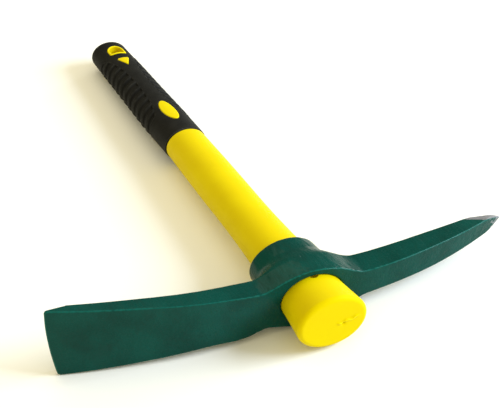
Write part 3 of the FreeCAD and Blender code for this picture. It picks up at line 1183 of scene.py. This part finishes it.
@dataclass(frozen=True)
class GreenPaint(Aged):
    """Gloss enamel over a forging, ground away to bare steel at the pick's point."""

    light: Colour = (0.0018, 0.059, 0.0455, 1.0)
    dark: Colour = (0.0010, 0.041, 0.031, 1.0)
    # Lighter teal on the edges: partly worn paint, partly a painted highlight along the edges.
    worn_and_edge_highlight: Colour = (0.010, 0.13, 0.10, 1.0)
    dirt: Colour = (0.01, 0.012, 0.01, 1.0)
    drift: float = 22.0
    wear_and_edge_highlight: tuple[float, float, float] = (0.75, 2.5, 0.55)
    dust: tuple[float, float] = (14.0, 0.35)
    grain: tuple[float, float] = (1.3, 9.0)
    steel: Colour = (0.35, 0.355, 0.37, 1.0)
    dark_steel: Colour = (0.16, 0.165, 0.175, 1.0)
    coat: float = 0.12

    def make(self, effects: Effects) -> Material:
        """Build the material."""
        material, w = new_material("green_paint")
        colour, dirt, height = self.age(w, effects)
        place = w.place()
        ragged = w.work_out("MULTIPLY_ADD", w.noise(place, 2.2, 4.0, 0.6), 0.9, -0.45)
        bare = w.between(w.work_out("ADD", w.mask(Mask.BARE), ragged), 0.45, 0.6, 0.0, 1.0)
        scratches = w.noise(w.stretched(place, (0.25, 3.5, 3.5)), 1.0)
        steel = w.mix(scratches, self.dark_steel, self.steel)
        rough = w.between(height, 0.4, 1.2, 0.2, 0.34)
        rough = w.work_out("MULTIPLY_ADD", dirt, 0.4, rough)
        streaks = w.noise(w.stretched(place, (1.0, 0.22, 1.0)), 4.5, 3.0, 0.6)
        forged = w.bump(streaks, 0.7, 0.0009)
        sprayed = w.bump(height, 0.35, 0.00025, forged)
        brushed = w.bump(w.work_out("MULTIPLY", scratches, bare), 0.4, 0.0001, sprayed)
        finish_off(w, {
            "Base Color": w.mix(bare, colour, steel),
            "Metallic": w.work_out("MULTIPLY", bare, 0.6),
            "Roughness": w.work_out("MULTIPLY_ADD", bare, 0.2, rough),
            "Specular IOR Level": 0.04,
            "Coat Weight": w.work_out("MULTIPLY_ADD", bare, -self.coat, self.coat),
            "Coat Roughness": 0.10,
            "Normal": brushed,
        })
        return material


@dataclass(frozen=True)
class YellowPlastic(Aged):
    """Satin moulded polypropylene."""

    light: Colour = (0.725, 0.575, 0.0006, 1.0)
    dark: Colour = (0.70, 0.54, 0.0006, 1.0)
    worn_and_edge_highlight: Colour = (0.88, 0.74, 0.006, 1.0)
    dirt: Colour = (0.30, 0.20, 0.003, 1.0)
    drift: float = 26.0
    wear_and_edge_highlight: tuple[float, float, float] = (0.7, 4.0, 0.6)
    dust: tuple[float, float] = (9.0, 0.12)
    grain: tuple[float, float] = (0.45, 14.0)
    gloss: Colour = (1.0, 0.85, 0.12, 1.0)

    def make(self, effects: Effects) -> Material:
        """Build the material."""
        material, w = new_material("yellow_polypropylene")
        colour, _, height = self.age(w, effects)
        finish_off(w, {
            "Base Color": colour,
            "Roughness": w.between(height, 0.4, 1.2, 0.42, 0.55),
            "Specular IOR Level": 0.06,
            "Specular Tint": self.gloss,
            "Normal": w.bump(height, 0.18, 0.00012),
        })
        return material


@dataclass(frozen=True)
class BlackRubber(Aged):
    """Matt thermoplastic rubber, a little paler where it is rubbed."""

    light: Colour = (0.0150, 0.0148, 0.0120, 1.0)
    dark: Colour = (0.0085, 0.0084, 0.0068, 1.0)
    worn_and_edge_highlight: Colour = (0.055, 0.054, 0.048, 1.0)
    dirt: Colour = (0.0035, 0.0034, 0.0026, 1.0)
    drift: float = 12.0
    wear_and_edge_highlight: tuple[float, float, float] = (0.8, 2.0, 0.35)
    dust: tuple[float, float] = (7.0, 0.6)
    grain: tuple[float, float] = (0.7, 8.0)

    def make(self, effects: Effects) -> Material:
        """Build the material."""
        material, w = new_material("black_rubber")
        colour, _, height = self.age(w, effects)
        finish_off(w, {
            "Base Color": colour,
            "Roughness": w.between(height, 0.4, 1.2, 0.55, 0.8),
            "Specular IOR Level": 0.15,
            "Normal": w.bump(height, 0.5, 0.00025),
        })
        return material


@dataclass(frozen=True)
class RawFibreglass:
    """Pultruded rod: long pale strands in yellowed resin."""

    strand: Colour = (0.78, 0.73, 0.56, 1.0)
    resin: Colour = (0.50, 0.42, 0.22, 1.0)

    def make(self, effects: Effects) -> Material:
        """Build the material."""
        material, w = new_material("raw_fibreglass")
        metres = w.node("ShaderNodeTexCoord").outputs["Object"]
        along = w.stretched(metres, (1000.0, 12.0, 1000.0))
        strands = w.noise(along, 0.8, 4.0, 0.6)
        height = effects.grain.use(w, Place=along, Size=0.6, Swell=5.0)["Height"]
        finish_off(w, {
            "Base Color": w.mix(w.between(strands, 0.35, 0.65, 0.0, 1.0), self.resin, self.strand),
            "Roughness": w.between(height, 0.4, 1.2, 0.4, 0.6),
            "Normal": w.bump(strands, 0.4, 0.0002),
        })
        return material


# ------------------------------------------------------------------------------------ studio
def direction(bearing: float, height: float) -> Vector:
    """The direction of a compass bearing from +Y and a height above level, both in degrees."""
    turn, rise = math.radians(bearing), math.radians(height)
    return Vector((math.sin(turn) * math.cos(rise), math.cos(turn) * math.cos(rise), math.sin(rise)))


@dataclass(frozen=True)
class Softbox:
    """A rectangular area light.

    Args:
        name: The light's name.
        aim: Compass bearing and height of the light seen from the tool, in degrees.
        distance: How far it stands, in metres.
        size: Its width and height in metres.
        power: Its power in watts.
        colour: Its colour.
    """

    name: str
    aim: tuple[float, float]
    distance: float
    size: tuple[float, float]
    power: float
    colour: tuple[float, float, float]

    def place(self, middle: Vector) -> None:
        """Hang the light, pointing at the middle of the tool."""
        lamp = bpy.data.lights.new(self.name, "AREA")
        lamp.shape = "RECTANGLE"
        lamp.size, lamp.size_y = self.size
        lamp.energy = self.power
        lamp.color = self.colour
        towards = direction(*self.aim)
        hung = bpy.data.objects.new(self.name, lamp)
        hung.location = middle + towards * self.distance
        hung.rotation_euler = (-towards).to_track_quat("-Z", "Y").to_euler()
        bpy.context.scene.collection.objects.link(hung)


@dataclass(frozen=True)
class Studio:
    """A pale floor, soft light and the camera, in metres and degrees; the lens is in millimetres.

    Args:
        fill_in_gloss: How strong glossy surfaces see the light from all round.
        backdrop: What the camera sees past the floor.
        shift: How far the lens is shifted sideways and up, in widths of the picture.
    """

    floor_reach: float = 6.0
    floor_light: Colour = (0.98, 0.97, 0.92, 1.0)
    floor_dark: Colour = (0.97, 0.96, 0.91, 1.0)
    floor_patch: float = 0.4
    fill: Colour = (1.0, 0.925, 0.66, 1.0)
    fill_strength: float = 0.86
    fill_in_gloss: float = 0.22
    backdrop: Colour = (0.98, 0.98, 0.96, 1.0)
    softboxes: tuple[Softbox, ...] = (
        Softbox("key", (118.0, 28.0), 2.2, (1.2, 0.9), 56.0, (0.82, 0.96, 1.20)),
        Softbox("back", (5.0, 50.0), 2.4, (1.6, 0.8), 6.0, (1.0, 0.84, 0.60)),
        Softbox("window", (60.0, 13.0), 2.2, (0.16, 0.6), 7.0, (1.0, 1.0, 1.0)),
    )
    camera_place: tuple[float, float, float] = (-0.2785, -0.7082, 0.5327)
    camera_bearing: float = 24.388
    camera_drop: float = 36.644
    camera_roll: float = -1.546
    lens: float = 91.07
    sensor: float = 36.0
    nearest: float = 0.01
    shift: tuple[float, float] = (-0.0076, 0.0308)

    def floor(self) -> None:
        """Lay the floor."""
        reach = self.floor_reach
        mesh = bpy.data.meshes.new("floor")
        corners = [(-reach, -reach, 0.0), (reach, -reach, 0.0), (reach, reach, 0.0), (-reach, reach, 0.0)]
        mesh.from_pydata(corners, [], [(0, 1, 2, 3)])
        material, w = new_material("white_paper")
        metres = w.node("ShaderNodeTexCoord").outputs["Object"]
        shade = w.mix(w.noise(metres, self.floor_patch), self.floor_dark, self.floor_light)
        finish_off(w, {"Base Color": shade, "Roughness": 0.7, "Specular IOR Level": 0.2})
        mesh.materials.append(material)
        laid = bpy.data.objects.new("floor", mesh)
        bpy.context.scene.collection.objects.link(laid)
        laid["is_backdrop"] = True

    def lights(self, middle: Vector) -> None:
        """Light the room evenly and hang the softboxes."""
        world = bpy.data.worlds.new("studio")
        world.use_nodes = True
        w = Wiring(world.node_tree)
        ray = w.node("ShaderNodeLightPath").outputs
        strength = w.between(ray["Is Glossy Ray"], 0.0, 1.0, self.fill_strength, self.fill_in_gloss)
        strength = w.work_out("MAXIMUM", strength, ray["Is Camera Ray"])
        colour = w.mix(ray["Is Camera Ray"], self.fill, self.backdrop)
        sky = w.node("ShaderNodeBackground", {"Color": colour, "Strength": strength})
        w.node("ShaderNodeOutputWorld", {"Surface": sky.outputs[0]})
        bpy.context.scene.world = world
        for softbox in self.softboxes:
            softbox.place(middle)

    def camera(self) -> None:
        """Set up the camera."""
        sight = direction(self.camera_bearing, -self.camera_drop)
        roll = Matrix.Rotation(math.radians(self.camera_roll), 3, "Z")
        turn = sight.to_track_quat("-Z", "Y").to_matrix() @ roll
        eye = bpy.data.cameras.new("camera")
        eye.lens = self.lens
        eye.sensor_width = self.sensor
        eye.shift_x, eye.shift_y = self.shift
        eye.clip_start = self.nearest
        seat = bpy.data.objects.new("camera", eye)
        seat.matrix_world = Matrix.Translation(self.camera_place) @ turn.to_4x4()
        bpy.context.scene.collection.objects.link(seat)
        bpy.context.scene.camera = seat

    def set_up(self, low: Sequence[float], high: Sequence[float]) -> None:
        """Build the studio round the tool's box."""
        self.floor()
        self.lights((Vector(low) + Vector(high)) / 2.0)
        self.camera()
        bpy.context.scene.view_settings.view_transform = "Standard"


def write_sizes(cad: Sequence, shown: Sequence) -> None:
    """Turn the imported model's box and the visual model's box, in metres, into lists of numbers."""
    boxes = {"cad": cad, "visual": shown}
    boxes = {name: [list(map(float, corner)) for corner in box] for name, box in boxes.items()}


def main() -> None:
    """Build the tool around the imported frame, then the studio."""
    logging.basicConfig(level=logging.INFO, format="%(name)s %(message)s")
    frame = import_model()
    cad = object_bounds()
    tool = ToolFrame.from_record(frame["record"])
    effects = Effects()
    handle = Handle(tool)
    handle.build(
        YellowPlastic().make(effects), BlackRubber().make(effects), RawFibreglass().make(effects),
        frame["nodes"]["fibreglass_core"],
    )
    Head(tool, handle).build(GreenPaint().make(effects))
    Studio().set_up(*cad)
    write_sizes(cad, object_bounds())


if __name__ == "__main__":
    main()
